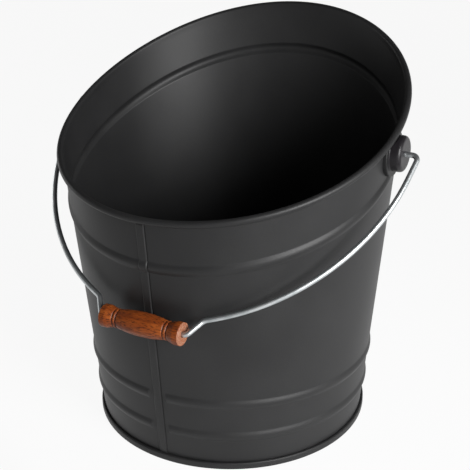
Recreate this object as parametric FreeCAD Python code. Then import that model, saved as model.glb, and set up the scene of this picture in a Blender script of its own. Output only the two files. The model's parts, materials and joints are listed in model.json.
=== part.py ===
"""Fireplace bucket: a tapered sheet-steel pail with a slanted mouth, a wire bail and a turned wooden grip.

Lengths are in millimetres.  +Z is up, the foot ring stands on Z = 0 and the bucket's own axis is the Z axis.
The low pouring side of the mouth, the side seam and the resting bail face -Y.  The two ears sit on the X axis.
"""
import FreeCAD
import Part
import math
import os

from FreeCAD import Vector

# Sheet-steel wall
foot_radius = 125.0          # outside of the seamed foot ring
wall_foot_radius = 121.8     # outside of the wall, carried down to the floor
wall_side_radius = 146.6     # outside of the wall at the rim, above the ears
sheet = 0.8                  # steel sheet of the wall and the bottom
rim_front_height = 230.4     # middle of the rolled rim at the pouring side
rim_side_height = 277.3      # the same above the ears
rim_back_height = 346.0      # the same at the high back

# Rolled rim around its wire
rim_wire_radius = 2.0
rim_wire_gap = 0.05          # between the rim wire and the roll around it
roll_inset = 0.15            # how far the roll stands inside the inner face of the wall
roll_slit_radius = 0.8       # slit where the sheet's edge ends under the roll
roll_slit_gap = 0.15         # between that slit and the outer face of the wall
roll_slit_depth = 0.15       # how far the slit reaches below the roll

# Swaged beads
bead_width = 10.0
bead_height = 1.7
low_bead_heights = (33.3, 65.8)
rim_bead_drop = 41.0         # from the rolled rim down to the bead that follows it
bead_seam_gap = 3.0          # plain sheet between the side seam and the ends of the low beads

# Side seam
seam_width = 7.0
seam_height = 1.0
seam_side_shift = -3.0       # the fold lies to one side of the middle of the pouring side
seam_end_gap = 1.0           # plain sheet above the foot ring and below the rolled rim

# Seamed bottom
foot_height = 6.5
hook_gap = 0.05              # between the folded layers of the foot seam

# Ears that carry the bail
ear_drop = 15.9              # from the rolled rim down to the bail's swing axis
ear_set_back = 5.0           # from the bucket's middle back to the bail's swing axis
ear_boss_radius = 14.8
ear_flange_radius = 19.6
ear_flange_height = 2.5
ear_boss_height = 11.66      # from the wall to the outer face of the boss
ear_thickness = 3.2          # of the boss's side and face
ear_edge_radius = 3.2
ear_seat_gap = 0.05          # between the ear and the wall that it is welded to
ear_roll_gap = 0.4           # between the ear and the rolled rim that it is tucked under

# Wire bail
bail_wire_radius = 2.25
bail_pivot_gap = 0.05        # between the wire and its hole in the ear
bail_corner_gap = 8.9        # from the ear's outer face to the corner of the bail
bail_reach = 192.38          # from the swing axis to the middle of the grip
bail_shoulder_out = 151.4    # where the straight arm and the crown would meet, from the bail's middle
bail_shoulder_reach = 130.6  # and from the swing axis
bail_crank_out = 48.8        # outer corner of the crank, from the middle of the grip
bail_crank_reach = 177.5
bail_crank_in = 39.7         # inner corner of the crank, from the middle of the grip
bail_side_shift = 2.0        # the bail rests off the bucket's middle, within its play in the ears
corner_bend = 5.0
crank_bend = 9.0
grip_side_bend = 5.0         # where the crank turns into the grip
bail_head_radius = 4.2       # upset end of the wire inside the ear
bail_head_length = 2.0
bail_head_gap = 3.6          # from the wall to the upset end

# Turned wooden grip
grip_length = 73.0
grip_barrel_radius = 10.0
grip_neck_radius = 7.9
grip_end_radius = 9.5
grip_groove_depth = 0.8
grip_groove_width = 1.4
grip_bore_gap = 0.08         # between the wire and the bore
grip_mouth_depth = 0.8       # countersink at each end of the bore
grip_side_shift = -2.0       # the grip rests off the middle of the bail
grip_rest_gap = 0.35         # between the resting grip and the side seam

# Working values that follow from the sizes above
overrun = 2 * foot_height
wall_lean = (wall_side_radius - wall_foot_radius) / rim_side_height
lean_angle = math.atan(wall_lean)
roll_bore = rim_wire_radius + rim_wire_gap
roll_radius = roll_bore + sheet
roll_out = roll_radius - sheet - roll_inset
ear_height = rim_side_height - ear_drop
bead_round = (bead_width ** 2 / 4 + bead_height ** 2) / (2 * bead_height)
wall_bottom = sheet + hook_gap
front = Vector(0, -1, 0)
up = Vector(0, 0, 1)
across = Vector(1, 0, 0)
centre = Vector(0, 0, 0)
rim_stations = 24

# Share of the shorter run beside the bail's shoulder that its bend takes up
crown_share = 0.93

# Places on the grip as shares of the way from its middle to one end
grip_flare_share = 0.86
grip_groove_shares = (0.60, 0.685)


def wall_radius(height):
    """Outer radius of the wall at a height."""
    return wall_foot_radius + wall_lean * height


def rim_parabola():
    """Slope and bend of the rim's height over Y, seen from the side."""
    front_y = -wall_radius(rim_front_height)
    back_y = wall_radius(rim_back_height)
    front_slope = (rim_front_height - rim_side_height) / front_y
    back_slope = (rim_back_height - rim_side_height) / back_y
    bend = (back_slope - front_slope) / (back_y - front_y)
    return front_slope - bend * front_y, bend


rim_slope, rim_bend = rim_parabola()


def rim_height(y):
    """Height of the rim above a place across the mouth."""
    return rim_side_height + rim_slope * y + rim_bend * y ** 2


def rim_station(angle, outward, drop):
    """Point beside the wall under the rim, at one angle around the bucket."""
    height = rim_side_height
    for _ in range(12):
        height = rim_height(wall_radius(height) * math.sin(angle))
    height -= drop
    radius = wall_radius(height) + outward
    return Vector(radius * math.cos(angle), radius * math.sin(angle), height)


def rim_pipe(outward, drop, radius):
    """Round bar that follows the rim all the way round the bucket, swept in two halves."""
    turn = 2 * math.pi / rim_stations
    points = [rim_station(i * turn, outward, drop) for i in range(rim_stations)]
    path = Part.BSplineCurve()
    path.interpolate(Points=points, PeriodicFlag=True)
    half = (path.LastParameter - path.FirstParameter) / 2
    bars = []
    for start in (path.FirstParameter, path.FirstParameter + half):
        section = Part.Wire([Part.Circle(path.value(start), path.tangent(start)[0], radius).toShape()])
        spine = Part.Wire([path.toShape(start, start + half)])
        bars.append(spine.makePipeShell([section], True, True))
    return bars[0].fuse(bars[1])


def above_rim(drop):
    """Everything above the rim, lowered by a drop, as a block with a curved underside."""
    reach = wall_radius(rim_back_height) + overrun
    top = rim_back_height + rim_front_height
    start = Vector(-reach, -reach, rim_height(-reach) - drop)
    end = Vector(-reach, reach, rim_height(reach) - drop)
    middle = Vector(-reach, 0, rim_height(-reach) + (rim_slope + 2 * rim_bend * -reach) * reach - drop)
    curve = Part.BezierCurve()
    curve.setPoles([start, middle, end])
    over_start = Vector(-reach, -reach, top)
    over_end = Vector(-reach, reach, top)
    lid = Part.makePolygon([end, over_end, over_start, start])
    face = Part.Face(Part.Wire([curve.toShape()] + lid.Edges))
    return face.extrude(across * (2 * reach))


def low_bead(height, inset):
    """Round swell of a low bead, open at the side seam, shrunk by an inset."""
    radius = wall_radius(height)
    plain = seam_width / 2 + bead_seam_gap + inset
    gap = 2 * math.degrees(math.atan(plain / radius))
    ring = Part.makeTorus(
        radius + bead_height - bead_round, bead_round - inset, up * height, up, 0, 360, 360 - gap)
    ring.rotate(centre, up, gap / 2 - 90 + math.degrees(math.atan(seam_side_shift / radius)))
    return ring


def wall_block(inset, low, high):
    """Filled bucket with its beads, shrunk by an inset, before the mouth is cut."""
    low_radius = wall_radius(low) - inset
    high_radius = wall_radius(high) - inset
    block = Part.makeCone(low_radius, high_radius, high - low, up * low)
    beads = [low_bead(height, inset) for height in low_bead_heights]
    beads.append(rim_pipe(bead_height - bead_round, rim_bead_drop, bead_round - inset))
    return block.fuse(beads)


def side_seam():
    """Flat folded seam that runs up the pouring side of the wall."""
    low = foot_height + seam_end_gap
    high = rim_front_height - roll_radius - seam_end_gap
    inner = wall_radius(low) - sheet / 2
    outer = wall_radius(low) + seam_height
    left = seam_side_shift - seam_width / 2
    right = seam_side_shift + seam_width / 2
    corners = [
        Vector(left, -inner, low),
        Vector(right, -inner, low),
        Vector(right, -outer, low),
        Vector(left, -outer, low),
        Vector(left, -inner, low),
    ]
    strip = Part.Face(Part.makePolygon(corners))
    return strip.extrude((up + front * wall_lean) * (high - low))


def foot_hook():
    """Lower edge of the wall, turned outwards inside the foot seam."""
    outer = Part.makeCylinder(foot_radius - sheet - hook_gap, sheet, up * wall_bottom)
    inner = Part.makeCylinder(wall_radius(wall_bottom) - sheet / 2, sheet, up * wall_bottom)
    return outer.cut(inner)


def make_body_wall():
    """Beaded wall with its side seam, its turned foot and its rolled rim."""
    top = rim_back_height + overrun
    shell = wall_block(0, wall_bottom, top).cut(wall_block(sheet, -overrun, top + overrun))
    shell = shell.cut(above_rim(0))
    wall = shell.fuse([side_seam(), foot_hook(), rim_pipe(roll_out, 0, roll_radius)])
    wall = wall.cut(rim_pipe(roll_out, 0, roll_bore))
    slit_out = roll_slit_radius + roll_slit_gap
    slit_drop = roll_radius - roll_slit_radius + roll_slit_depth
    return wall.cut(rim_pipe(slit_out, slit_drop, roll_slit_radius))


def make_rim_wire():
    """Stiffening wire inside the rolled rim."""
    return rim_pipe(roll_out, 0, rim_wire_radius)


def make_bottom_plate():
    """Sunk bottom panel whose edge folds round the turned foot of the wall."""
    floor_radius = wall_radius(0) - sheet - hook_gap
    panel_radius = wall_radius(foot_height) - sheet - hook_gap
    corners = [
        Vector(0, 0, foot_height - sheet),
        Vector(panel_radius - sheet, 0, foot_height - sheet),
        Vector(floor_radius - sheet, 0, 0),
        Vector(foot_radius, 0, 0),
        Vector(foot_radius, 0, foot_height),
        Vector(foot_radius - sheet, 0, foot_height),
        Vector(foot_radius - sheet, 0, sheet),
        Vector(wall_radius(sheet) - sheet - hook_gap, 0, sheet),
        Vector(panel_radius, 0, foot_height),
        Vector(0, 0, foot_height),
        Vector(0, 0, foot_height - sheet),
    ]
    return Part.Face(Part.makePolygon(corners)).revolve(centre, up, 360)


def ear_place(out):
    """Point of the swing axis on the +X side, from its distance out of the wall."""
    wall_out = math.sqrt(wall_radius(ear_height) ** 2 - ear_set_back ** 2)
    return Vector(wall_out + out, ear_set_back, ear_height)


def ear_boss():
    """Round boss on the swing axis with a rounded outer edge, filled."""
    wall_out = ear_place(0).x
    root = ear_place(-ear_boss_height)
    boss = Part.makeCylinder(ear_boss_radius, 2 * ear_boss_height, root, across)
    outer_edges = [e for e in boss.Edges if e.Closed and e.CenterOfMass.x > wall_out]
    return boss.makeFillet(ear_edge_radius, outer_edges)


def ear_flange():
    """Round flange behind the boss, trimmed under the rolled rim."""
    root = ear_place(-ear_boss_height)
    flange = Part.makeCylinder(ear_flange_radius, ear_boss_height + ear_flange_height, root, across)
    return flange.cut(above_rim((roll_radius + ear_roll_gap) * math.hypot(1, rim_slope)))


def make_ear():
    """Ear on the +X side: a flanged hollow boss with a hole for the end of the bail."""
    root = ear_place(-ear_boss_height)
    hollow = Part.makeCylinder(ear_boss_radius - ear_thickness, 2 * ear_boss_height - ear_thickness, root, across)
    hole = Part.makeCylinder(bail_wire_radius + bail_pivot_gap, ear_boss_height + overrun, ear_place(0), across)
    ear = ear_boss().fuse(ear_flange()).cut(hollow).cut(hole)
    ear = ear.cut(wall_block(-ear_seat_gap, wall_bottom, rim_back_height + overrun))
    return ear.cut(rim_pipe(roll_out, 0, roll_radius + ear_roll_gap))


def rest_angle():
    """Angle of the resting bail below the level, where the grip lies against the side seam."""
    clear = grip_barrel_radius + seam_height + grip_rest_gap
    level_reach = (wall_radius(ear_height) + ear_set_back) * math.cos(lean_angle) + clear
    return lean_angle + math.acos(level_reach / bail_reach)


def bail_place(out, reach):
    """Point of the resting bail's plane, from its distances to the middle and to the swing axis."""
    angle = rest_angle()
    return Vector(out, ear_set_back - reach * math.cos(angle), ear_height - reach * math.sin(angle))


def rounded_path(points, bends):
    """Wire of straight runs joined by tangent arcs, one bend radius for each inner point."""
    edges = []
    start = points[0]
    for before, corner, after, bend in zip(points, points[1:], points[2:], bends):
        into = (before - corner).normalize()
        out_of = (after - corner).normalize()
        half_turn = (math.pi - into.getAngle(out_of)) / 2
        tangent = bend * math.tan(half_turn)
        first = corner + into * tangent
        last = corner + out_of * tangent
        inward = (into + out_of).normalize()
        middle = corner + inward * (bend / math.cos(half_turn) - bend)
        edges.append(Part.LineSegment(start, first).toShape())
        edges.append(Part.Arc(first, middle, last).toShape())
        start = last
    edges.append(Part.LineSegment(start, points[-1]).toShape())
    return Part.Wire(edges)


def bail_head_start():
    """Distance of the upset end's inner face from the middle of the bucket."""
    return ear_place(bail_head_gap).x


def bail_half_width():
    """Distance of the bail's corner from the middle of the bucket."""
    return ear_place(ear_boss_height + bail_corner_gap).x


def bail_half(side):
    """Corners of one half of the bail, from its end in the ear to its crank beside the grip."""
    return [
        bail_place(side * bail_head_start() + bail_side_shift, 0),
        bail_place(side * bail_half_width() + bail_side_shift, 0),
        bail_place(side * bail_shoulder_out + bail_side_shift, bail_shoulder_reach),
        bail_place(side * bail_crank_out + grip_side_shift, bail_crank_reach),
        bail_place(side * bail_crank_in + grip_side_shift, bail_reach),
    ]


def crown_bend(half):
    """Bend radius of the shoulder, from the shorter of the two runs beside it."""
    arm = half[1] - half[2]
    crown = half[3] - half[2]
    half_turn = (math.pi - arm.getAngle(crown)) / 2
    return crown_share * min(arm.Length, crown.Length) / math.tan(half_turn)


def make_bail_wire():
    """Bent wire bail with an upset head on each end."""
    right = bail_half(1)
    left = bail_half(-1)
    bends = [corner_bend, crown_bend(right), crank_bend, grip_side_bend]
    bends += [grip_side_bend, crank_bend, crown_bend(left), corner_bend]
    path = rounded_path(right + left[::-1], bends)
    section = Part.Wire([Part.Circle(right[0], across, bail_wire_radius).toShape()])
    wire = path.makePipeShell([section], True, False)
    for side, half in ((1, right), (-1, left)):
        wire = wire.fuse(Part.makeCylinder(bail_head_radius, bail_head_length, half[0], across * side))
    return wire


def grip_half_outline(half):
    """Outline points of one half of the grip: place along it and radius, from the middle to the end."""
    groove_half = grip_groove_width / 2
    points = []
    for share in grip_groove_shares:
        place = share * half
        points.append((place - groove_half, grip_neck_radius))
        points.append((place, grip_neck_radius - grip_groove_depth))
        points.append((place + groove_half, grip_neck_radius))
    points.append((grip_flare_share * half, grip_end_radius))
    points.append((half, grip_end_radius))
    points.append((half, bail_wire_radius + grip_bore_gap + grip_mouth_depth))
    points.append((half - grip_mouth_depth, bail_wire_radius + grip_bore_gap))
    return points


def make_grip():
    """Turned grip: a barrel between two grooved necks and two flared ends, bored for the wire."""
    middle = bail_place(grip_side_shift, bail_reach)
    half = grip_length / 2
    right = [middle + Vector(place, 0, radius) for place, radius in grip_half_outline(half)]
    left = [middle + Vector(-place, 0, radius) for place, radius in grip_half_outline(half)]
    barrel = Part.Arc(left[0], middle + up * grip_barrel_radius, right[0]).toShape()
    ends = Part.makePolygon(right + left[::-1])
    outline = Part.Face(Part.Wire([barrel] + ends.Edges))
    return outline.revolve(middle, across, 360)


def joined_faces(shape):
    """Same shape with its split faces joined, where that keeps it sound."""
    joined = shape.copy().removeSplitter()
    return joined if joined.isValid() else shape


def main():
    """Build every piece and write it to its own file."""
    ear_right = make_ear()
    pieces = {
        "body_wall": make_body_wall(),
        "rim_wire": make_rim_wire(),
        "bottom_plate": make_bottom_plate(),
        "ear_right": ear_right,
        "ear_left": ear_right.mirror(centre, across),
        "bail_wire": make_bail_wire(),
        "grip": make_grip(),
    }
    os.makedirs("parts", exist_ok=True)
    for name, shape in pieces.items():
        solid = joined_faces(shape)
        solid.exportStep(os.path.join("parts", name + ".step"))
        box = solid.BoundBox
        print(name, "solids", len(solid.Solids), "valid", solid.isValid(), "volume", round(solid.Volume),
              "box", [round(v, 1) for v in (box.XMin, box.YMin, box.ZMin, box.XMax, box.YMax, box.ZMax)])


main()
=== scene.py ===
"""Fireplace bucket with a slanted mouth, a wire bail and a turned wooden grip, dressed around its frame.

Lengths are in metres.  +Z is up and the foot ring stands on Z = 0.  The low pouring side of the mouth,
the side seam and the resting bail face -Y.  The two ears sit on both sides of the X axis.
"""

import json
import math

import bmesh
import bpy
import numpy as np
from bpy.props import FloatProperty, FloatVectorProperty, PointerProperty
from bpy.types import NodeSocket, Operator, Panel, PropertyGroup
from mathutils import Matrix, Vector


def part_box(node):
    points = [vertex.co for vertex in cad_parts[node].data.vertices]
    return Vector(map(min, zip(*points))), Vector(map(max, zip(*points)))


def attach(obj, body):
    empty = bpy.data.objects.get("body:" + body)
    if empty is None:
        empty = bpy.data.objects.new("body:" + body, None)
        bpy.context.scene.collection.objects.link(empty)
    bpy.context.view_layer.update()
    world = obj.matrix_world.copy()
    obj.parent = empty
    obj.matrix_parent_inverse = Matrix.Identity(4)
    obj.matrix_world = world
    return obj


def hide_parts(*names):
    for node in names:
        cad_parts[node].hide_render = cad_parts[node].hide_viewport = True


bl_info = {
    "name": "Fireplace bucket",
    "version": (1, 0, 0),
    "blender": (4, 5, 0),
    "location": "View3D > Sidebar > Bucket",
    "description": "Builds a sheet-steel bucket with a rolled rim, a wire bail and a turned grip",
    "category": "Add Mesh",
}

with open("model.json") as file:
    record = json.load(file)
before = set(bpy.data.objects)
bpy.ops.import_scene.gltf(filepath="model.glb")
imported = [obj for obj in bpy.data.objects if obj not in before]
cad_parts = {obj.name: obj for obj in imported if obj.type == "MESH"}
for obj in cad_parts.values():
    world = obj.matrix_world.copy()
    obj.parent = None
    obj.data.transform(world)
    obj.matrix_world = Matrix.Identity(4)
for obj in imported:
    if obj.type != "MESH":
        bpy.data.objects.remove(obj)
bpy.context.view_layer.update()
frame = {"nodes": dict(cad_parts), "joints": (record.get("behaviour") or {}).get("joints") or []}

# Places and sizes that the frame gives
foot_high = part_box("bottom_plate")[1]
ear_low, ear_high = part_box("ear_right")
grip_low, grip_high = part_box("grip")
joint_places = {joint["name"]: Vector(joint["pos_m"]) for joint in frame["joints"]}
swing_place = joint_places["bail_swing"]
grip_place = joint_places["grip_spin"]

# Fineness of the grids
around_count = 300
seam_counts = (14, 12, 6, 9, 7, 14)
row_counts = (6, 16, 4, 16, 14, 18, 10)
bend_count = 24
corner_count = 6
tube_count = 32
turned_count = 96
ear_step = 0.0006
wire_step = 0.0040
settling_rounds = 12
merge_distance = 1e-7
small_turn = 1e-4

# Form of the wall's beads and of its slow waves
bead_crown_power = 1.4
wave_turns = (5, 8)
wave_drifts = (4, -5)
wave_start = 1

# Depth and place of the seam's left groove, and how far up the seam fades in
left_groove_share = 1 / 3
left_groove_widths = 2
seam_fade_share = 1 / 4

# Grain of the finishes: waves for each metre, or along each axis, and rounds of finer detail
coat_peel = (700.0, 2.0)
coat_speckle = (2200.0, 1.0)
coat_cloud = (14.0, 3.0)
ear_cloud = (60.0, 3.0)
ear_fine = (1500.0, 1.0)
zinc_patch = (90.0, 3.0)
zinc_streak = ((25.0, 6.0, 6.0), 3.0)
wood_streak = ((14.0, 210.0, 210.0), 4.0)
wood_pore = ((190.0, 1500.0, 1500.0), 2.0)
wood_mottle = ((60.0, 160.0, 160.0), 2.0)
wood_waver = 0.4
steel_patch = (160.0, 3.0)
patch_share = 0.4
noise_span = (0.3, 0.7)

# Roughness of the finishes
coat_roughness = (0.42, 0.48)
speckle_roughness = (0.0, 0.08)
ear_roughness = (0.44, 0.33)
zinc_roughness = (0.46, 0.36)
wood_roughness = (0.42, 0.62)
varnish_roughness = 0.30
steel_roughness = (0.55, 0.35)
floor_roughness = 0.9

# The photograph's frame
photo_pixels = 470
sensor_width = 36.0


def setting(name, description, default, **kind):
    """Property that holds a number of some kind."""
    return FloatProperty(name=name, description=description, default=default, **kind)


def length(name, description, default):
    """Property that holds a length in metres."""
    return setting(name, description, default, unit="LENGTH", precision=5)


def angle(name, description, default):
    """Property that holds an angle, given in degrees."""
    return setting(name, description, math.radians(default), subtype="ANGLE")


def fraction(name, description, default):
    """Property that holds a share from 0 to 1."""
    return setting(name, description, default, subtype="FACTOR", min=0.0, max=1.0)


def colour(name, description, default):
    """Property that holds a colour in linear light."""
    return FloatVectorProperty(
        name=name, description=description, default=default, subtype="COLOR", size=3, min=0.0, max=1.0)


class WallSizes(PropertyGroup):
    """Sizes of the sheet-steel wall, its rolled rim, its beads and its side seam."""
    foot_radius: length("Foot radius", "Wall's outside, carried down to the floor", 0.1218)
    side_radius: length("Side radius", "Wall's outside at the rim above the ears", 0.1466)
    sheet: length("Sheet", "Thickness of the steel sheet", 0.0008)
    bottom: length("Lower edge", "Height of the lower edge in the foot ring", 0.00085)
    rim_front: length("Front rim", "Rim's height at the pouring side", 0.2304)
    rim_side: length("Side rim", "Rim's height above the ears", 0.2773)
    rim_back: length("Back rim", "Rim's height at the back", 0.3460)
    roll_radius: length("Roll radius", "Outer radius of the rolled rim", 0.00285)
    roll_out: length("Roll offset", "From the wall's face to the roll's middle", 0.0019)
    roll_slit: length("Roll slit", "Between the wall and the roll's end", 0.0003)
    bead_width: length("Bead width", "Width of a swaged bead", 0.0100)
    bead_rise: length("Bead rise", "How far a bead stands out", 0.0017)
    low_bead: length("Low bead", "Height of the lowest bead", 0.0333)
    second_bead: length("Second bead", "Height of the second bead", 0.0658)
    rim_bead_drop: length("Rim bead drop", "From the rim down to the bead that follows it", 0.0410)
    bead_end: length("Bead end", "Over which a low bead dies out at the seam", 0.0030)
    seam_width: length("Seam width", "Width of the folded side seam", 0.0070)
    seam_rise: length("Seam rise", "How far the fold stands out", 0.0010)
    seam_place: length("Seam place", "Fold's crisp edge beside the front's middle", 0.0005)
    seam_gap: length("Seam gap", "Plain sheet between seam and low beads", 0.0030)
    fold_radius: length("Fold radius", "Rounding of the fold's crisp edge", 0.0009)
    fold_groove: length("Fold groove", "Depth and width of the groove along the fold", 0.0005)
    waviness: length("Waviness", "Unevenness of the sheet", 0.00010)


class FootSizes(PropertyGroup):
    """Sizes of the bottom panel and of the ring that it makes round the foot."""
    radius: length("Ring radius", "Outside of the foot ring", foot_high.x)
    height: length("Ring height", "Height of the ring and of the panel's top", foot_high.z)
    lip_gap: length("Lip gap", "Between the ring's upper lip and the wall", 0.0004)
    edge: length("Edge rounding", "Rounding of the ring's edges", 0.0014)
    fit: length("Fit", "Between the panel's turned edge and the wall", 0.00005)


class EarSizes(PropertyGroup):
    """Sizes of the pressed ears that carry the bail."""
    face: length("Outer face", "Place of the outer face on the X axis", ear_high.x)
    boss_radius: length("Boss radius", "Radius of the raised boss", 0.0148)
    boss_taper: length("Boss taper", "How much wider the boss is at its root", 0.0003)
    boss_edge: length("Boss edge", "Rounding of the boss's outer edge", 0.0032)
    root_edge: length("Root rounding", "Rounding where the boss meets its flange", 0.0008)
    flange_radius: length("Flange radius", "Radius of the flange", (ear_high.y - ear_low.y) / 2)
    flange_height: length("Flange height", "From the wall to the face of the flange", 0.0025)
    flange_edge: length("Flange edge", "Rounding of the flange's edge", 0.0009)
    sheet: length("Thickness", "Thickness of the boss's side and face", 0.0032)
    hole_radius: length("Hole radius", "Radius of the hole for the wire", 0.0023)
    hole_edge: length("Hole edge", "Rounding of the hole's edge", 0.0004)
    seat_gap: length("Seat gap", "Between the ear and the wall", 0.00005)
    roll_gap: length("Roll gap", "Between the ear and the roll above it", 0.0004)


class BailSizes(PropertyGroup):
    """Sizes of the bent wire bail, in its own plane: out from the middle and away from the swing axis."""
    wire_radius: length("Wire radius", "Radius of the wire", 0.00225)
    corner_gap: length("Corner gap", "From the ear's face to the bail's corner", 0.0089)
    shoulder_out: length("Shoulder out", "Where arm and crown would meet, from the bail's middle", 0.1514)
    shoulder_reach: length("Shoulder reach", "The same, from the swing axis", 0.1306)
    crank_out: length("Crank out", "Outer corner of the crank, from the grip's middle", 0.0488)
    crank_reach: length("Crank reach", "The same, from the swing axis", 0.1775)
    crank_in: length("Crank in", "Inner corner of the crank, from the grip's middle", 0.0397)
    side_shift: length("Side shift", "How far the bail rests off the middle", 0.0020)
    corner_bend: length("Corner bend", "Bend radius at the ears", 0.0050)
    crank_bend: length("Crank bend", "Bend radius of the crank", 0.0090)
    grip_bend: length("Grip bend", "Bend radius beside the grip", 0.0050)
    crown_share: fraction("Crown share", "Share of the shoulder's shorter run that its bend takes", 0.93)
    head_radius: length("Head radius", "Radius of the upset end in the ear", 0.0042)
    head_length: length("Head length", "Length of the upset end", 0.0020)
    head_gap: length("Head gap", "From the wall to the upset end", 0.0036)


class GripSizes(PropertyGroup):
    """Sizes of the turned wooden grip."""
    neck_radius: length("Neck radius", "Radius at the grooves", 0.0079)
    end_radius: length("End radius", "Radius of the flared ends", 0.0095)
    groove_depth: length("Groove depth", "Depth of a turned groove", 0.0010)
    groove_width: length("Groove width", "Width of a turned groove", 0.0019)
    end_edge: length("End edge", "Rounding of the ends", 0.0005)
    bore_radius: length("Bore radius", "Radius of the bore", 0.00233)
    mouth_depth: length("Mouth depth", "Countersink at each end of the bore", 0.0008)
    groove_share: fraction("Groove share", "First groove, as a share of the half length", 0.600)
    second_groove_share: fraction("Second groove share", "Second groove, likewise", 0.685)
    flare_share: fraction("Flare share", "Start of the flared end, likewise", 0.860)


class FinishSettings(PropertyGroup):
    """Colours of the finishes in linear light, with their gloss and fine relief."""
    coat: colour("Coat", "Black powder coat", (0.0125, 0.0125, 0.0129))
    coat_pale: colour("Coat, pale", "The powder coat's paler specks", (0.0230, 0.0230, 0.0235))
    ear: colour("Ear flange", "Black of the ears' flanges", (0.0120, 0.0120, 0.0124))
    ear_boss: colour("Ear boss", "Purplish black of the ears' bosses", (0.0110, 0.0096, 0.0114))
    zinc: colour("Zinc", "Bright zinc of the bail", (0.62, 0.64, 0.65))
    zinc_dull: colour("Zinc, dull", "Duller patches of the zinc", (0.36, 0.39, 0.40))
    wood: colour("Wood", "Stained wood of the grip", (0.245, 0.051, 0.0080))
    # Dark pores and streaks, and also the painted shade laid in the grip's grooves
    wood_dark_and_groove_shade: colour("Wood, dark", "Dark pores and grooves", (0.040, 0.0080, 0.0030))
    wood_pale: colour("Wood, pale", "Pale streaks", (0.370, 0.092, 0.0155))
    wood_end: colour("Wood, end", "End grain", (0.380, 0.205, 0.135))
    steel: colour("Steel", "Bare steel of the hidden rim wire", (0.30, 0.30, 0.31))
    steel_dark: colour("Steel, dark", "Scale on the rim wire", (0.12, 0.12, 0.12))
    floor: colour("Floor", "Pale floor", (0.92, 0.92, 0.92))
    coat_gloss: fraction("Coat gloss", "Strength of the powder coat's reflection", 0.31)
    ear_gloss: fraction("Ear gloss", "Strength of the ears' reflection", 0.30)
    wood_gloss: fraction("Wood gloss", "Strength of the wood's reflection", 0.22)
    varnish: fraction("Varnish", "Share of varnish left on the wood", 0.08)
    metal_relief: length("Metal relief", "Depth of the fine grain on coat and zinc", 0.0002)
    wood_relief: length("Wood relief", "Depth of the wood's pores", 0.0003)


class StageSettings(PropertyGroup):
    """Camera, floor and lights."""
    camera_azimuth: angle("Camera azimuth", "Camera's turn from the front to the right", 27.74)
    camera_elevation: angle("Camera elevation", "Height angle of the camera", 22.78)
    camera_roll: angle("Camera roll", "Tilt of the camera", -0.54)
    camera_distance: length("Camera distance", "From the camera to the point it looks at", 0.875)
    target_right: length("Target, right", "Point looked at, to the right of the axis", 0.00378)
    target_height: length("Target, height", "Point looked at, above the floor", 0.16411)
    focal_pixels: setting("Focal length", "In pixels of the photograph", 968.54, subtype="PIXEL")
    floor_size: length("Floor size", "Half the side of the floor", 40.0)
    ambient: setting("Ambient", "Light that the surroundings give", 0.05)
    low_sky: setting("Low sky", "Brightness shown near the floor", 1.0)
    ceiling: setting("Ceiling", "Brightness shown overhead", 0.10)
    low_sky_top: angle("Low sky, top", "Height angle at which it begins to dim", 4.0)
    ceiling_foot: angle("Ceiling, foot", "Height angle from which it is dim", 14.0)
    glow: fraction("Floor glow", "Share of its own white that the floor shows", 0.93)
    glow_faint: fraction("Floor glow, faint", "The same where the floor is dim", 0.50)
    glow_azimuth: angle("Glow azimuth", "Turn from the front towards which the floor dims", -28.0)
    glow_start: length("Glow start", "From the axis to where the floor begins to dim", 0.20)
    glow_end: length("Glow end", "From the axis to where it is dim", 0.80)
    lamp_beam: angle("Lamp beam", "Full angle of the lamps' beams", 60.0)
    key_azimuth: angle("Key azimuth", "Turn from the front to the right", 64.0)
    key_elevation: angle("Key elevation", "Height angle above the floor", 18.0)
    key_distance: length("Key distance", "From the bucket to the light", 1.1)
    key_size: length("Key size", "Side of the key light", 0.55)
    key_power: setting("Key power", "Power of the key light", 2.7, subtype="POWER")
    fill_azimuth: angle("Fill azimuth", "Turn from the front to the right", -95.0)
    fill_elevation: angle("Fill elevation", "Height angle above the floor", 9.0)
    fill_distance: length("Fill distance", "From the bucket to the light", 1.5)
    fill_size: length("Fill size", "Side of the fill light", 0.6)
    fill_power: setting("Fill power", "Power of the fill light", 0.30, subtype="POWER")


class BucketSettings(PropertyGroup):
    """Everything that shapes and colours the bucket and its stage."""
    wall: PointerProperty(type=WallSizes)
    foot: PointerProperty(type=FootSizes)
    ear: PointerProperty(type=EarSizes)
    bail: PointerProperty(type=BailSizes)
    grip: PointerProperty(type=GripSizes)
    finish: PointerProperty(type=FinishSettings)
    stage: PointerProperty(type=StageSettings)


# Shapes in numbers

def smooth_step(value, start, end):
    """Rises from 0 at start to 1 at end with level ends."""
    share = np.clip((value - start) / (end - start), 0, 1)
    return share * share * (3 - 2 * share)


def unit(vectors):
    """The same directions at length 1."""
    return vectors / np.linalg.norm(vectors, axis=-1, keepdims=True)


def rounded_line(corners, bends, count):
    """Points of straight runs joined by tangent arcs, one bend radius for each inner corner.

    Each arc is the blend of its two end radii by the sines of the angles left and passed.
    """
    corners = np.array(corners, float)
    share = np.linspace(0, 1, count)[:, None]
    pieces = [corners[:1]]
    for before, corner, after, bend in zip(corners, corners[1:], corners[2:], bends):
        into = unit(before - corner)
        out_of = unit(after - corner)
        half_turn = (math.pi - math.acos(np.clip(into @ out_of, -1, 1))) / 2
        middle = corner + unit(into + out_of) * bend / math.cos(half_turn)
        first = corner + into * bend * math.tan(half_turn) - middle
        last = corner + out_of * bend * math.tan(half_turn) - middle
        turn = 2 * half_turn
        arc = (np.sin((1 - share) * turn) * first + np.sin(share * turn) * last) / math.sin(turn)
        pieces.append(middle + arc)
    pieces.append(corners[-1:])
    return np.concatenate(pieces)


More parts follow.
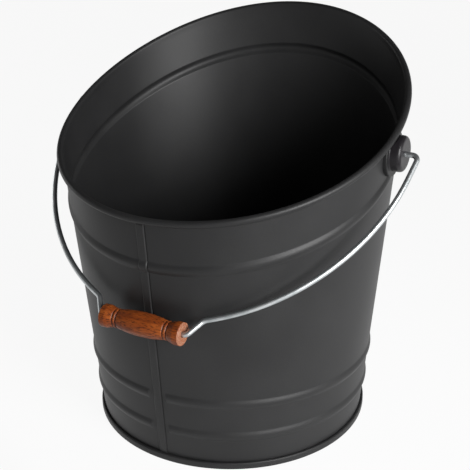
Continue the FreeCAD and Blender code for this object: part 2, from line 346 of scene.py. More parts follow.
def with_runs(points, longest):
    """The same line with its steps divided evenly down to a longest length."""
    steps = np.diff(points, axis=0)
    parts = np.maximum(np.ceil(np.linalg.norm(steps, axis=1) / longest), 1).astype(int)
    owner = np.repeat(np.arange(len(parts)), parts)
    first = np.cumsum(parts) - parts
    share = (np.arange(len(owner)) - first[owner]) / parts[owner]
    return np.concatenate([points[owner] + steps[owner] * share[:, None], points[-1:]])


def wall_radius(wall, height):
    """Outer radius of the plain cone at a height."""
    lean = (wall.side_radius - wall.foot_radius) / wall.rim_side
    return wall.foot_radius + lean * height


def rim_curve(wall):
    """Slope and bend of the rim's height over Y: a parabola through the front, the sides and the back."""
    front = -wall_radius(wall, wall.rim_front)
    back = wall_radius(wall, wall.rim_back)
    front_slope = (wall.rim_front - wall.rim_side) / front
    back_slope = (wall.rim_back - wall.rim_side) / back
    bend = (back_slope - front_slope) / (back - front)
    return front_slope - bend * front, bend


def rim_at(wall, turn):
    """Height of the rim at an angle around the bucket, where the cone and the parabola meet."""
    slope, bend = rim_curve(wall)
    height = np.full_like(turn, wall.rim_side)
    for _ in range(settling_rounds):
        across = wall_radius(wall, height) * np.sin(turn)
        height = wall.rim_side + slope * across + bend * across ** 2
    return height


def bead_swell(wall, beside):
    """Rise of a bead beside its middle: a round crown that runs out level."""
    share = np.clip(2 * np.abs(beside) / wall.bead_width, 0, 1)
    return wall.bead_rise * (1 - share ** 2) ** bead_crown_power


def seam_distance(wall, turn, height):
    """Distance along the wall from the crisp edge of the side seam, positive to the right of it."""
    from_front = (turn + math.pi / 2 + math.pi) % (2 * math.pi) - math.pi
    return from_front * wall_radius(wall, height) - wall.seam_place


def wall_swell(wall, turn, height):
    """Rise of the three beads: two level ones that stop short of the seam and one that follows the rim."""
    beside_seam = np.abs(seam_distance(wall, turn, height) + wall.seam_width / 2)
    plain = wall.seam_width / 2 + wall.seam_gap
    shown = smooth_step(beside_seam, plain, plain + wall.bead_end)
    low = bead_swell(wall, height - wall.low_bead) + bead_swell(wall, height - wall.second_bead)
    slope = rim_curve(wall)[0]
    from_rim = rim_at(wall, turn) - wall.rim_bead_drop - height
    steepness = np.hypot(1, slope * np.cos(turn))
    return low * shown + bead_swell(wall, from_rim / steepness)


def wall_waves(wall, turn, height):
    """Unevenness of the sheet: two slow waves round the bucket that drift with height."""
    climb = height / wall.rim_side
    slow = np.sin(wave_turns[0] * turn + wave_drifts[0] * climb)
    quick = np.sin(wave_turns[1] * turn + wave_drifts[1] * climb + wave_start)
    return wall.waviness * (slow + quick * climb)


def fold_rise(wall, turn, height):
    """Rise of the side seam: level, with a soft left shoulder, a crisp rounded right edge and a groove."""
    beside = seam_distance(wall, turn, height)
    left = -wall.seam_width
    shoulder = smooth_step(beside, left - wall.fold_radius, left + wall.fold_radius)
    from_edge = np.clip(beside + wall.fold_radius, 0, wall.fold_radius)
    rounded = np.sqrt(wall.fold_radius ** 2 - from_edge ** 2) - wall.fold_radius
    raised = (wall.seam_rise + rounded) * shoulder
    groove = -wall.fold_groove * np.exp(-(beside / wall.fold_groove) ** 2)
    from_left = (beside - left) / wall.fold_groove - left_groove_widths
    left_groove = -wall.fold_groove * left_groove_share * np.exp(-from_left ** 2)
    ends = smooth_step(height, wall.bottom, wall.low_bead * seam_fade_share)
    return np.where(beside <= 0, raised + left_groove, groove) * ends


def wall_turns(wall):
    """Angles of the wall's columns: close together across the side seam and even round the rest."""
    left = -wall.seam_width
    soft = wall.fold_radius
    plain = wall.seam_gap + wall.bead_end
    crisp = wall.fold_groove
    before, shoulder, level, edge, groove, after = seam_counts
    across = np.concatenate([
        np.linspace(left - plain - soft, left - 2 * soft, before),
        np.linspace(left - 1.5 * soft, left + 1.5 * soft, shoulder),
        np.linspace(left + 2 * soft, -2 * soft, level),
        -soft * np.cos(np.linspace(0, math.pi / 2, edge)),
        np.linspace(crisp / 20, 2 * crisp, groove),
        np.linspace(3 * crisp, plain + soft, after),
    ])
    near = (across + wall.seam_place) / wall_radius(wall, wall.rim_front / 2)
    rest = np.linspace(near[-1], near[0] + 2 * math.pi, around_count + 2)[1:-1]
    return np.concatenate([near, rest]) - math.pi / 2


def row_heights(wall, turn, top_drop):
    """Heights of the wall's rows at each angle: close together on the beads, even between them."""
    rim = rim_at(wall, turn)
    half = wall.bead_width / 2 + wall.sheet
    middles = (wall.low_bead, wall.second_bead, rim - wall.rim_bead_drop)
    edges = [middle + side * half for middle in middles for side in (-1, 1)]
    knots = np.stack(np.broadcast_arrays(wall.bottom, *edges, rim - top_drop))
    spots = np.concatenate([i + np.arange(n) / n for i, n in enumerate(row_counts)] + [[len(row_counts)]])
    weights = np.clip(1 - np.abs(spots[:, None] - np.arange(len(knots))), 0, 1)
    return weights @ knots


def on_wall(radius, turn, height):
    """Points from their distance to the axis, their angle and their height."""
    return np.stack([radius * np.cos(turn), radius * np.sin(turn), height], axis=-1)


def rim_ring(wall, turn):
    """Middle line of the rolled rim."""
    height = rim_at(wall, turn)
    return on_wall(wall_radius(wall, height) + wall.roll_out, turn, height)


def roll_points(wall, turn):
    """Rolled rim: a circle carried along the rim's middle line, from its inner side over to its slit."""
    middle = rim_ring(wall, turn)
    along = unit(rim_ring(wall, turn + small_turn) - rim_ring(wall, turn - small_turn))
    level = on_wall(1, turn, np.zeros_like(turn))
    outward = unit(level - along * np.sum(level * along, axis=-1, keepdims=True))
    upward = np.cross(outward, along)
    end = math.acos(-(wall.roll_out - wall.roll_slit) / wall.roll_radius)
    sweep = np.linspace(math.pi, -end, bend_count)[:, None, None]
    return middle + wall.roll_radius * (np.cos(sweep) * outward + np.sin(sweep) * upward)


def wall_points(wall):
    """The whole wall as one closed sheet: up its inner face, over the roll and down its outer face.

    Each row is a ring round the bucket, each column a section through the sheet at one angle.
    """
    turn = wall_turns(wall)
    inner_height = row_heights(wall, turn, 2 * wall.roll_radius / 3)
    outer_height = row_heights(wall, turn, math.sqrt(wall.roll_radius ** 2 - wall.roll_out ** 2))
    turns = np.broadcast_to(turn, inner_height.shape)
    swell = [wall_swell(wall, turns, h) + wall_waves(wall, turns, h) for h in (inner_height, outer_height)]
    inner_radius = wall_radius(wall, inner_height) - wall.sheet + swell[0]
    outer_radius = wall_radius(wall, outer_height) + swell[1] + fold_rise(wall, turns, outer_height)
    inside = on_wall(inner_radius, turns, inner_height)
    outside = on_wall(outer_radius, turns, outer_height)
    return np.concatenate([inside, roll_points(wall, turn), outside[::-1]])


def turned(profile, axis, side, start, count):
    """Surface of revolution: each profile point, place along the axis and radius, goes round the axis."""
    sweep = np.linspace(0, 2 * math.pi, count, endpoint=False)
    axis, side, start = (np.array(v, float) for v in (axis, side, start))
    other = np.cross(axis, side)
    ring = np.cos(sweep)[:, None] * side + np.sin(sweep)[:, None] * other
    return start + profile[:, :1, None] * axis + profile[:, 1:, None] * ring


def foot_points(wall, foot):
    """Bottom panel and foot ring turned about the axis: panel, turned edge, lip, ring and underside."""
    sheet = wall.sheet
    panel_edge = wall_radius(wall, foot.height) - sheet - foot.fit
    floor_edge = wall_radius(wall, 0) - sheet - foot.fit
    lip = wall_radius(wall, foot.height) + foot.lip_gap
    edge = foot.edge
    corners = [
        (foot.height, 0),
        (foot.height, panel_edge),
        (sheet, floor_edge),
        (sheet, foot.radius - sheet),
        (foot.height - edge, foot.radius - sheet),
        (foot.height - sheet, lip),
        (foot.height, lip),
        (foot.height, foot.radius),
        (0, foot.radius),
        (0, floor_edge - sheet),
        (foot.height - sheet, panel_edge - sheet),
        (foot.height - sheet, 0),
    ]
    bends = [sheet, sheet / 4, sheet / 4, sheet / 4, sheet / 8, sheet / 8, edge, edge, sheet, sheet]
    profile = rounded_line(corners, bends, corner_count)
    return turned(profile, (0, 0, 1), (1, 0, 0), (0, 0, 0), turned_count * 2)


def ear_root(wall):
    """Distance from the middle to the wall along the swing axis."""
    return math.sqrt(wall_radius(wall, swing_place.z) ** 2 - swing_place.y ** 2)


def ear_profile(wall, ear):
    """Section of an ear, from its hole over boss and flange to the wall and back through its hollow."""
    base = ear_root(wall)
    step = base + ear.flange_height
    hollow = ear.boss_radius - ear.sheet
    corners = [
        (ear.face - ear.sheet, ear.hole_radius),
        (ear.face, ear.hole_radius),
        (ear.face, ear.boss_radius),
        (step, ear.boss_radius + ear.boss_taper),
        (step, ear.flange_radius),
        (base - ear.flange_height, ear.flange_radius),
        (base - ear.flange_height, hollow),
        (ear.face - ear.sheet, hollow),
        (ear.face - ear.sheet, ear.hole_radius),
    ]
    tight = ear.hole_edge / 4
    bends = [ear.hole_edge, ear.boss_edge, ear.root_edge, ear.flange_edge, tight, tight, ear.hole_edge]
    return with_runs(rounded_line(corners, bends, corner_count), ear_step)


def under_roll(wall, ear, points, turn):
    """Heights of an ear's points, held below the rolled rim that the ear is tucked under."""
    rim = rim_at(wall, turn)
    roll = np.sqrt((wall_radius(wall, rim) + wall.roll_out) ** 2 - points[..., 1] ** 2)
    gap = wall.roll_radius + ear.roll_gap
    beside = np.clip(points[..., 0] - roll, 0, gap)
    under = rim - np.sqrt(gap ** 2 - beside ** 2) * math.hypot(1, rim_curve(wall)[0])
    return np.where(beside < gap, np.minimum(points[..., 2], under), points[..., 2])


def ear_points(wall, ear, side):
    """Pressed ear turned about the swing axis, seated on the beaded wall and cut away under the rolled rim.

    The second array tells the boss, 1, from the flange, 0.
    """
    profile = ear_profile(wall, ear)
    points = turned(profile, (1, 0, 0), (0, 0, 1), (0, *swing_place.yz), turned_count)
    turn = np.arcsin(points[..., 1] / wall_radius(wall, swing_place.z))
    height = under_roll(wall, ear, points, turn)
    seat_radius = wall_radius(wall, height) + wall_swell(wall, turn, height) + ear.seat_gap
    seat = np.sqrt(seat_radius ** 2 - points[..., 1] ** 2)
    points[..., 0] = np.maximum(points[..., 0], seat) * side
    points[..., 2] = height
    boss = 1 - smooth_step(profile[:, 1], ear.boss_radius, ear.boss_radius + 2 * ear.root_edge)
    return points, np.broadcast_to(boss[:, None], points.shape[:2])


def bail_half(wall, ear, bail, side):
    """Corners of one half of the bail in its own plane, from its end in the ear to its crank."""
    reach = math.hypot(grip_place.y - swing_place.y, grip_place.z - swing_place.z)
    grip_middle = (grip_low.x + grip_high.x) / 2
    return np.array([
        (side * (ear_root(wall) + bail.head_gap) + bail.side_shift, 0),
        (side * (ear.face + bail.corner_gap) + bail.side_shift, 0),
        (side * bail.shoulder_out + bail.side_shift, bail.shoulder_reach),
        (side * bail.crank_out + grip_middle, bail.crank_reach),
        (side * bail.crank_in + grip_middle, reach),
    ])


def crown_bend(bail, half):
    """Bend radius of a shoulder, from the shorter of the two runs beside it."""
    runs = half[[1, 3]] - half[2]
    lengths = np.linalg.norm(runs, axis=1)
    half_turn = (math.pi - math.acos(runs[0] @ runs[1] / lengths.prod())) / 2
    return bail.crown_share * lengths.min() / math.tan(half_turn)


def bail_line(wall, ear, bail):
    """Bail's middle line in its own plane: distances out from the middle and away from the swing axis."""
    halves = [bail_half(wall, ear, bail, side) for side in (1, -1)]
    bends = [[bail.corner_bend, crown_bend(bail, half), bail.crank_bend, bail.grip_bend] for half in halves]
    corners = np.concatenate([halves[0], halves[1][::-1]])
    return with_runs(rounded_line(corners, bends[0] + bends[1][::-1], bend_count), wire_step)


def wire_stations(bail, travelled):
    """Ways along the wire and its radii there, with an upset head at each end."""
    head = np.array([0, 0, bail.head_length, bail.head_length])
    head_radius = np.array([0, bail.head_radius, bail.head_radius, bail.wire_radius])
    clear = 2 * bail.head_length
    inner = travelled[(travelled > clear) & (travelled < travelled[-1] - clear)]
    places = np.concatenate([head, inner, travelled[-1] - head[::-1]])
    radius = np.concatenate([head_radius, np.full(len(inner), bail.wire_radius), head_radius[::-1]])
    return places, radius


def sampled(places, travelled, values):
    """Values read between a line's points at given ways along it."""
    return np.stack([np.interp(places, travelled, column) for column in values.T], axis=1)


def bail_points(wall, ear, bail):
    """Wire: a circle carried along the bail's middle line.

    The line is plane, so each circle stands on the line's normal in the plane and on the plane's normal.
    The second array holds the way along the wire and the place round it.
    """
    line = bail_line(wall, ear, bail)
    travelled = np.concatenate([[0], np.cumsum(np.linalg.norm(np.diff(line, axis=0), axis=1))])
    places, radius = wire_stations(bail, travelled)
    flat = sampled(places, travelled, line)
    along = unit(sampled(places, travelled, np.gradient(line, travelled, axis=0)))
    out = np.array((1.0, 0.0, 0.0))
    down = unit(np.array((0, grip_place.y - swing_place.y, grip_place.z - swing_place.z)))
    middle = np.array(swing_place) + flat[:, :1] * out + flat[:, 1:] * down
    normal = -along[:, 1:] * out + along[:, :1] * down
    sweep = np.linspace(0, 2 * math.pi, tube_count, endpoint=False)[:, None]
    ring = np.cos(sweep) * normal[:, None] + np.sin(sweep) * np.cross(out, down)
    points = middle[:, None] + radius[:, None, None] * ring
    drawn = np.stack(np.broadcast_arrays(places[:, None], np.cos(sweep.T), np.sin(sweep.T)), axis=-1)
    return points, drawn


def grip_half_profile(grip, half):
    """Corners and roundings of one half of the grip from its first groove to its bore."""
    groove = grip.groove_width / 2
    corners = []
    bends = []
    for share in (grip.groove_share, grip.second_groove_share):
        place = share * half
        corners += [
            (place - groove, grip.neck_radius),
            (place, grip.neck_radius - grip.groove_depth),
            (place + groove, grip.neck_radius),
        ]
        bends += [groove / 3, groove / 4, groove / 3]
    mouth = grip.bore_radius + grip.mouth_depth
    corners += [(grip.flare_share * half, grip.end_radius), (half, grip.end_radius)]
    corners += [(half, mouth), (half - grip.mouth_depth, grip.bore_radius), (0, grip.bore_radius)]
    bends += [3 * grip.end_edge, grip.end_edge, grip.end_edge / 3, grip.end_edge / 3]
    return corners, bends


def grip_groove_shade_and_end(grip, profile, neck_place, half, barrel):
    """Values along the grip's profile: how deep in a groove, which sets the painted shade there, and
    whether on an end.
    """
    neck = grip.neck_radius
    outside = profile[:, 1] > neck - 2 * grip.groove_depth
    flat = np.interp(np.abs(profile[:, 0]), [0, neck_place, half], [barrel, neck, neck])
    # Depth in a groove, which the wood finish turns into painted shade
    groove = np.where(outside, np.clip((flat - profile[:, 1]) / grip.groove_depth, 0, 1), 0)
    end = smooth_step(np.abs(profile[:, 0]), half - grip.end_edge, half - grip.end_edge / 4)
    return np.stack([groove, end, np.zeros_like(end)], axis=-1)


def grip_points(grip):
    """Turned grip: a barrel arc, two grooved necks and two flared ends, bored for the wire.

    The barrel is the arc through its middle and its two necks, and everything is turned about the wire.
    The second array holds how deep in a groove, for the painted groove shade, and whether on an end.
    """
    half = (grip_high.x - grip_low.x) / 2
    barrel = (grip_high.z - grip_low.z) / 2
    corners, bends = grip_half_profile(grip, half)
    neck_place = corners[0][0]
    rise = barrel - grip.neck_radius
    round_radius = (neck_place ** 2 + rise ** 2) / (2 * rise)
    place = np.linspace(0, neck_place, bend_count)
    arc = np.stack([place, barrel - round_radius + np.sqrt(round_radius ** 2 - place ** 2)], axis=1)
    outer = rounded_line([arc[-2]] + corners, bends, corner_count)[1:]
    right = np.concatenate([arc[:-1], outer])
    profile = np.concatenate([right, (right * (-1, 1))[::-1]])
    middle = ((grip_low.x + grip_high.x) / 2, grip_place.y, grip_place.z)
    points = turned(profile, (1, 0, 0), (0, 0, 1), middle, turned_count)
    groove_shade_and_end = grip_groove_shade_and_end(grip, profile, neck_place, half, barrel)
    return points, np.broadcast_to(groove_shade_and_end[:, None], points.shape)


# Meshes

def add_object(name, data):
    """New object in the scene."""
    item = bpy.data.objects.new(name, data)
    bpy.context.scene.collection.objects.link(item)
    return item


def surface(name, points, attributes=None, closed_rows=True):
    """Object over a grid of points whose columns close round, with doubles merged and faces outwards."""
    rows, columns = points.shape[:2]
    index = np.arange(rows * columns).reshape(rows, columns)
    index = np.concatenate([index, index[:, :1]], axis=1)
    if closed_rows:
        index = np.concatenate([index, index[:1]])
    quads = np.stack([index[:-1, :-1], index[:-1, 1:], index[1:, 1:], index[1:, :-1]], axis=-1)
    mesh = bpy.data.meshes.new(name)
    mesh.from_pydata(points.reshape(-1, 3), [], quads.reshape(-1, 4))
    for attribute_name, values in (attributes or {}).items():
        kind, field = ("FLOAT_VECTOR", "vector") if values.ndim > 2 else ("FLOAT", "value")
        layer = mesh.attributes.new(attribute_name, kind, "POINT")
        layer.data.foreach_set(field, values.astype(np.float32).ravel())
    shape = bmesh.new()
    shape.from_mesh(mesh)
    bmesh.ops.remove_doubles(shape, verts=shape.verts, dist=merge_distance)
    bmesh.ops.recalc_face_normals(shape, faces=shape.faces)
    shape.to_mesh(mesh)
    shape.free()
    mesh.shade_smooth()
    return add_object(name, mesh)


def settle(piece, body, node, material):
    """Give a piece its finish and its place on a CAD body, in the stead of a CAD node."""
    piece.data.materials.append(material)
    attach(piece, body)
    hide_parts(node)


# Finishes

def set_inputs(node, inputs):
    """Give a node's inputs their plain values, or link them to other nodes' outputs."""
    for name, value in inputs.items():
        if isinstance(value, NodeSocket):
            node.id_data.links.new(value, node.inputs[name])
        else:
            node.inputs[name].default_value = value


def add_node(tree, kind, inputs=None, **modes):
    """New shader node with its modes and then its inputs set."""
    node = tree.nodes.new("ShaderNode" + kind)
    for name, mode in modes.items():
        setattr(node, name, mode)
    set_inputs(node, inputs or {})
    return node


def new_finish(name):
    """Empty material with its node tree, its shader and the object's own coordinates."""
    material = bpy.data.materials.get(name)
    if material:
        bpy.data.materials.remove(material)
    material = bpy.data.materials.new(name)
    material.use_nodes = True
    tree = material.node_tree
    place = add_node(tree, "TexCoord").outputs["Object"]
    return material, tree, tree.nodes["Principled BSDF"], place


def grain(tree, place, waves, detail, waver=0.0):
    """Noise over the coordinates, with so many waves for each metre."""
    inputs = {"Vector": place, "Scale": waves, "Detail": detail, "Distortion": waver}
    return add_node(tree, "TexNoise", inputs).outputs["Fac"]


def long_grain(tree, place, waves, detail, waver=0.0):
    """Noise with its own number of waves along each axis."""
    stretched = add_node(tree, "Mapping", {"Vector": place, "Scale": waves})
    return grain(tree, stretched.outputs["Vector"], 1.0, detail, waver)


def spread(tree, value, span, new_span):
    """Value carried from one span to another, held at the ends."""
    ends = dict(zip(("From Min", "From Max", "To Min", "To Max"), (*span, *new_span)))
    return add_node(tree, "MapRange", {"Value": value, **ends}).outputs["Result"]


def reckon(tree, operation, first, second):
    """Two values joined by one operation."""
    return add_node(tree, "Math", {0: first, 1: second}, operation=operation).outputs[0]


def shades(tree, value, stops):
    """Colours along a value: each stop is a place from 0 to 1 and a colour."""
    ramp = add_node(tree, "ValToRGB", {"Fac": value})
    elements = ramp.color_ramp.elements
    for _ in range(len(stops) - len(elements)):
        elements.new(1.0)
    for element, (place, tint) in zip(elements, stops):
        element.position = place
        element.color = (*tint, 1.0)
    return ramp.outputs["Color"]


def attribute(tree, name, output):
    """Value that the mesh carries on its points."""
    return add_node(tree, "Attribute", attribute_name=name).outputs[output]


def relief(tree, height, strength, depth):
    """Normal of a fine relief."""
    inputs = {"Height": height, "Strength": strength, "Distance": depth}
    return add_node(tree, "Bump", inputs).outputs["Normal"]


def blend(tree, share, first, second, kind="RGBA"):
    """Colour, or value of another kind, between two others by the share of the second."""
    inputs = {"Factor": share, "A": first, "B": second}
    return add_node(tree, "Mix", inputs, data_type=kind).outputs["Result"]


def powder_coat(finish):
    """Satin black powder coat: orange-peel relief, fine speckle and slow changes of gloss."""
    material, tree, shader, place = new_finish("black_powder_coat")
    peel = grain(tree, place, *coat_peel)
    speckle = grain(tree, place, *coat_speckle)
    cloud = grain(tree, place, *coat_cloud)
    pale = [spread(tree, noise, noise_span, (0.0, 0.5)) for noise in (speckle, cloud)]
    slow = spread(tree, cloud, noise_span, coat_roughness)
    height = reckon(tree, "ADD", peel, reckon(tree, "MULTIPLY", speckle, 0.4))
    stops = [(0.25, finish.coat), (0.95, finish.coat_pale)]
    set_inputs(shader, {
        "Base Color": shades(tree, reckon(tree, "ADD", *pale), stops),
        "Roughness": reckon(tree, "ADD", slow, spread(tree, speckle, noise_span, speckle_roughness)),
        "Specular IOR Level": finish.coat_gloss,
        "Normal": relief(tree, height, 0.25, finish.metal_relief),
    })
    return material


def ear_black(finish):
    """Black of the pressed ears: smooth and purplish on the boss, plainer and rougher on the flange."""
    material, tree, shader, place = new_finish("ear_black")
    cloud = grain(tree, place, *ear_cloud)
    fine = grain(tree, place, *ear_fine)
    boss = attribute(tree, "boss", "Fac")
    tone = reckon(tree, "ADD", boss, spread(tree, cloud, noise_span, (-0.15, 0.15)))
    slow = spread(tree, boss, (0.0, 1.0), ear_roughness)
    set_inputs(shader, {
        "Base Color": shades(tree, tone, [(0.15, finish.ear), (0.85, finish.ear_boss)]),
        "Roughness": reckon(tree, "ADD", slow, spread(tree, fine, noise_span, speckle_roughness)),
        "Specular IOR Level": finish.ear_gloss,
        "Normal": relief(tree, fine, 0.12, finish.metal_relief),
    })
    return material


def bright_zinc(finish):
    """Bright zinc on drawn wire: streaks along the wire, dull patches and fine relief."""
    material, tree, shader, place = new_finish("bright_zinc")
    streak = long_grain(tree, attribute(tree, "drawn", "Vector"), *zinc_streak)
    bright = blend(tree, patch_share, streak, grain(tree, place, *zinc_patch), "FLOAT")
    set_inputs(shader, {
        "Base Color": shades(tree, bright, [(0.38, finish.zinc_dull), (0.56, finish.zinc)]),
        "Roughness": spread(tree, bright, (0.35, 0.65), zinc_roughness),
        "Metallic": 1.0,
        "Normal": relief(tree, streak, 0.15, finish.metal_relief),
    })
    return material


def stained_wood(finish):
    """Red-brown stained wood: streaks and dark pores along the grip, painted shade in the grooves and pale
    end grain.
    """
    material, tree, shader, place = new_finish("stained_wood")
    streaks = long_grain(tree, place, *wood_streak, wood_waver)
    pores = long_grain(tree, place, *wood_pore)
    tone = blend(tree, patch_share, streaks, long_grain(tree, place, *wood_mottle), "FLOAT")
    # X is how deep in a groove, for the painted groove shade; Y is the end-grain mask
    groove_shade_and_end = add_node(tree, "SeparateXYZ", {"Vector": attribute(tree, "groove_shade_and_end", "Vector")}).outputs
    dark = (*finish.wood_dark_and_groove_shade, 1.0)
    side = shades(tree, tone, [(0.20, finish.wood_dark_and_groove_shade), (0.44, finish.wood), (0.68, finish.wood_pale)])
    side = blend(tree, spread(tree, pores, (0.50, 0.64), (0.0, 0.90)), side, dark)
    # Painted shade: the wood darkens the deeper it lies in a turned groove
    side = blend(tree, reckon(tree, "MULTIPLY", groove_shade_and_end["X"], 0.8), side, dark)
    end = shades(tree, pores, [(0.40, finish.wood_end), (0.62, finish.wood)])
    hollows = reckon(tree, "MULTIPLY", pores, -1.0)
    set_inputs(shader, {
        "Base Color": blend(tree, groove_shade_and_end["Y"], side, end),
        "Roughness": spread(tree, pores, (0.4, 0.7), wood_roughness),
        "Specular IOR Level": finish.wood_gloss,
        "Coat Weight": finish.varnish,
        "Coat Roughness": varnish_roughness,
        "Normal": relief(tree, hollows, 0.45, finish.wood_relief),
    })
    return material


def bare_steel(finish):
    """Bare steel of the hidden rim wire: dark scale in patches on drawn wire."""
    material, tree, shader, place = new_finish("rim_steel")
    patch = grain(tree, place, *steel_patch)
    set_inputs(shader, {
        "Base Color": shades(tree, patch, [(0.40, finish.steel_dark), (0.62, finish.steel)]),
        "Roughness": spread(tree, patch, noise_span, steel_roughness),
        "Metallic": 1.0,
    })
    return material


# Stage

def turned_towards(azimuth, elevation):
    """Unit vector towards a turn from the front and a height angle."""
    level = math.cos(elevation)
    return Vector((math.sin(azimuth) * level, -math.cos(azimuth) * level, math.sin(elevation)))


def looking_back(back, roll):
    """Turn of a camera or lamp whose back points along a vector, level apart from its roll."""
    right = Vector((0, 0, 1)).cross(back).normalized()
    upward = back.cross(right)
    rolled_right = right * math.cos(roll) + upward * math.sin(roll)
    rolled_up = upward * math.cos(roll) - right * math.sin(roll)
    return Matrix((rolled_right, rolled_up, back)).transposed().to_4x4()


def place_camera(stage):
    """Camera at the photograph's viewing angle."""
    back = turned_towards(stage.camera_azimuth, stage.camera_elevation)
    right = Vector((0, 0, 1)).cross(back).normalized()
    target = right * stage.target_right + Vector((0, 0, stage.target_height))
    lens = bpy.data.cameras.new("camera")
    lens.sensor_width = sensor_width
    lens.lens = stage.focal_pixels * sensor_width / photo_pixels
    camera = add_object("camera", lens)
    spot = Matrix.Translation(target + back * stage.camera_distance)
    camera.matrix_world = spot @ looking_back(back, stage.camera_roll)
    bpy.context.scene.camera = camera


def hang_lamp(name, azimuth, elevation, distance, size, beam, power, target):
    """Square soft lamp that looks at a target."""
    lamp = bpy.data.lights.new(name, "AREA")
    lamp.size = size
    lamp.spread = beam
    lamp.energy = power
    holder = add_object(name, lamp)
    back = turned_towards(azimuth, elevation)
    holder.matrix_world = Matrix.Translation(target + back * distance) @ looking_back(back, 0)


def seen_rays(tree):
    """One for rays from the camera, from gloss and through glass, and zero for the rest."""
    path = add_node(tree, "LightPath")
    seen = reckon(tree, "MAXIMUM", path.outputs["Is Camera Ray"], path.outputs["Is Glossy Ray"])
    return reckon(tree, "MAXIMUM", seen, path.outputs["Is Transmission Ray"])


def lay_floor(stage, finish):
    """Wide pale floor that takes the light and the shadow, and shows a share of its own white.

    That share falls slowly from the bucket towards the front, along one direction over the floor.
    """
    half = stage.floor_size
    mesh = bpy.data.meshes.new("floor")
    corners = [(-half, -half, 0), (half, -half, 0), (half, half, 0), (-half, half, 0)]
    mesh.from_pydata(corners, [], [(0, 1, 2, 3)])
    floor = add_object("floor", mesh)
    material, tree, shader, place = new_finish("pale_floor")
    set_inputs(shader, {
        "Base Color": (*finish.floor, 1.0),
        "Roughness": floor_roughness,
        "Specular IOR Level": 0.0,
    })
    way = turned_towards(stage.glow_azimuth, 0)
    ahead = add_node(tree, "VectorMath", {0: place, 1: way}, operation="DOT_PRODUCT")
    reach = (stage.glow_start, stage.glow_end)
    share = spread(tree, ahead.outputs["Value"], reach, (stage.glow, stage.glow_faint))
    mixed = add_node(tree, "MixShader", {
        "Fac": reckon(tree, "MULTIPLY", seen_rays(tree), share),
        1: shader.outputs["BSDF"],
        2: add_node(tree, "Emission").outputs["Emission"],
    })
    tree.links.new(mixed.outputs["Shader"], tree.nodes["Material Output"].inputs["Surface"])
    mesh.materials.append(material)


def fill_sky(stage):
    """Pale surroundings near the floor that dim overhead, by the height of the direction looked in.

    Rays that are not seen get only the even, dim ambient light.
    """
    world = bpy.data.worlds.new("studio")
    world.use_nodes = True
    tree = world.node_tree
    place = add_node(tree, "TexCoord").outputs["Generated"]
    height = add_node(tree, "SeparateXYZ", {"Vector": place}).outputs["Z"]
    dimming = (math.sin(stage.low_sky_top), math.sin(stage.ceiling_foot))
    shown = spread(tree, height, dimming, (stage.low_sky, stage.ceiling))
    extra = reckon(tree, "MULTIPLY", seen_rays(tree), reckon(tree, "SUBTRACT", shown, stage.ambient))
    set_inputs(tree.nodes["Background"], {
        "Color": (1.0, 1.0, 1.0, 1.0),
        "Strength": reckon(tree, "ADD", extra, stage.ambient),
    })
    bpy.context.scene.world = world


# Operators

class BUCKET_OT_wall(Operator):
    """Build the beaded wall with its side seam and its rolled rim"""
    bl_idname = "bucket.wall"
    bl_label = "Wall"

    def execute(self, context):
        settings = context.scene.bucket
        piece = surface("wall", wall_points(settings.wall))
        settle(piece, "bucket", "body_wall", powder_coat(settings.finish))
        return {"FINISHED"}


class BUCKET_OT_foot(Operator):
    """Build the bottom panel with its foot ring"""
    bl_idname = "bucket.foot"
    bl_label = "Foot"

    def execute(self, context):
        settings = context.scene.bucket
        piece = surface("foot", foot_points(settings.wall, settings.foot), closed_rows=False)
        finish = bpy.data.materials.get("black_powder_coat") or powder_coat(settings.finish)
        settle(piece, "bucket", "bottom_plate", finish)
        return {"FINISHED"}


class BUCKET_OT_ears(Operator):
    """Build the two pressed ears"""
    bl_idname = "bucket.ears"
    bl_label = "Ears"

    def execute(self, context):
        settings = context.scene.bucket
        finish = ear_black(settings.finish)
        for name, side in (("right", 1), ("left", -1)):
            points, boss = ear_points(settings.wall, settings.ear, side)
            piece = surface("pressed_ear_" + name, points, {"boss": boss})
            settle(piece, "bucket", "ear_" + name, finish)
        return {"FINISHED"}


class BUCKET_OT_rim_wire(Operator):
    """Give the hidden rim wire its finish"""
    bl_idname = "bucket.rim_wire"
    bl_label = "Rim wire"

    def execute(self, context):
        settings = context.scene.bucket
        wire = frame["nodes"]["rim_wire"]
        wire.data.materials.clear()
        wire.data.materials.append(bare_steel(settings.finish))
        return {"FINISHED"}


class BUCKET_OT_bail(Operator):
    """Build the bent wire bail"""
    bl_idname = "bucket.bail"
    bl_label = "Bail"

    def execute(self, context):
        settings = context.scene.bucket
        points, drawn = bail_points(settings.wall, settings.ear, settings.bail)
        piece = surface("bail", points, {"drawn": drawn}, closed_rows=False)
        settle(piece, "bail", "bail_wire", bright_zinc(settings.finish))
        return {"FINISHED"}


class BUCKET_OT_grip(Operator):
    """Build the turned wooden grip"""
    bl_idname = "bucket.grip"
    bl_label = "Grip"

    def execute(self, context):
        settings = context.scene.bucket
        points, groove_shade_and_end = grip_points(settings.grip)
        # The grip carries its groove depths for the painted groove shade
        piece = surface("turned_grip", points, {"groove_shade_and_end": groove_shade_and_end})
        settle(piece, "grip", "grip", stained_wood(settings.finish))
        return {"FINISHED"}


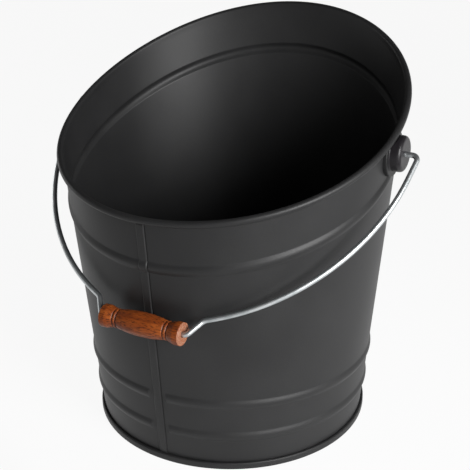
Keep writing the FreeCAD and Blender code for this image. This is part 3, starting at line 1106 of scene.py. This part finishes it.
class BUCKET_OT_stage(Operator):
    """Set up the camera, the floor and the lights"""
    bl_idname = "bucket.stage"
    bl_label = "Stage"

    def execute(self, context):
        settings = context.scene.bucket
        stage = settings.stage
        target = Vector((0, 0, stage.target_height))
        context.scene.view_settings.view_transform = "Standard"
        place_camera(stage)
        lay_floor(stage, settings.finish)
        fill_sky(stage)
        hang_lamp("key", stage.key_azimuth, stage.key_elevation, stage.key_distance,
                  stage.key_size, stage.lamp_beam, stage.key_power, target)
        hang_lamp("fill", stage.fill_azimuth, stage.fill_elevation, stage.fill_distance,
                  stage.fill_size, stage.lamp_beam, stage.fill_power, target)
        return {"FINISHED"}


class BUCKET_PT_panel(Panel):
    """Sidebar panel with the bucket's steps and sizes"""
    bl_idname = "BUCKET_PT_panel"
    bl_label = "Fireplace bucket"
    bl_space_type = "VIEW_3D"
    bl_region_type = "UI"
    bl_category = "Bucket"

    def draw(self, context):
        for step in operators:
            self.layout.operator(step.bl_idname)
        settings = context.scene.bucket
        for group_name in settings.__annotations__:
            group = getattr(settings, group_name)
            box = self.layout.box()
            for name in group.__annotations__:
                box.prop(group, name)


groups = (WallSizes, FootSizes, EarSizes, BailSizes, GripSizes, FinishSettings, StageSettings,
          BucketSettings)
operators = (BUCKET_OT_wall, BUCKET_OT_foot, BUCKET_OT_ears, BUCKET_OT_rim_wire, BUCKET_OT_bail,
             BUCKET_OT_grip, BUCKET_OT_stage)


def register():
    """Make the settings, the operators and the panel known to Blender."""
    for kind in (*groups, *operators, BUCKET_PT_panel):
        bpy.utils.register_class(kind)
    bpy.types.Scene.bucket = PointerProperty(type=BucketSettings)


def unregister():
    """Take them away again."""
    del bpy.types.Scene.bucket
    for kind in (BUCKET_PT_panel, *reversed(operators), *reversed(groups)):
        bpy.utils.unregister_class(kind)


def main():
    """Build the bucket on its stage."""
    register()
    bpy.ops.bucket.wall()
    bpy.ops.bucket.foot()
    bpy.ops.bucket.ears()
    bpy.ops.bucket.rim_wire()
    bpy.ops.bucket.bail()
    bpy.ops.bucket.grip()
    bpy.ops.bucket.stage()


if __name__ == "__main__":
    main()
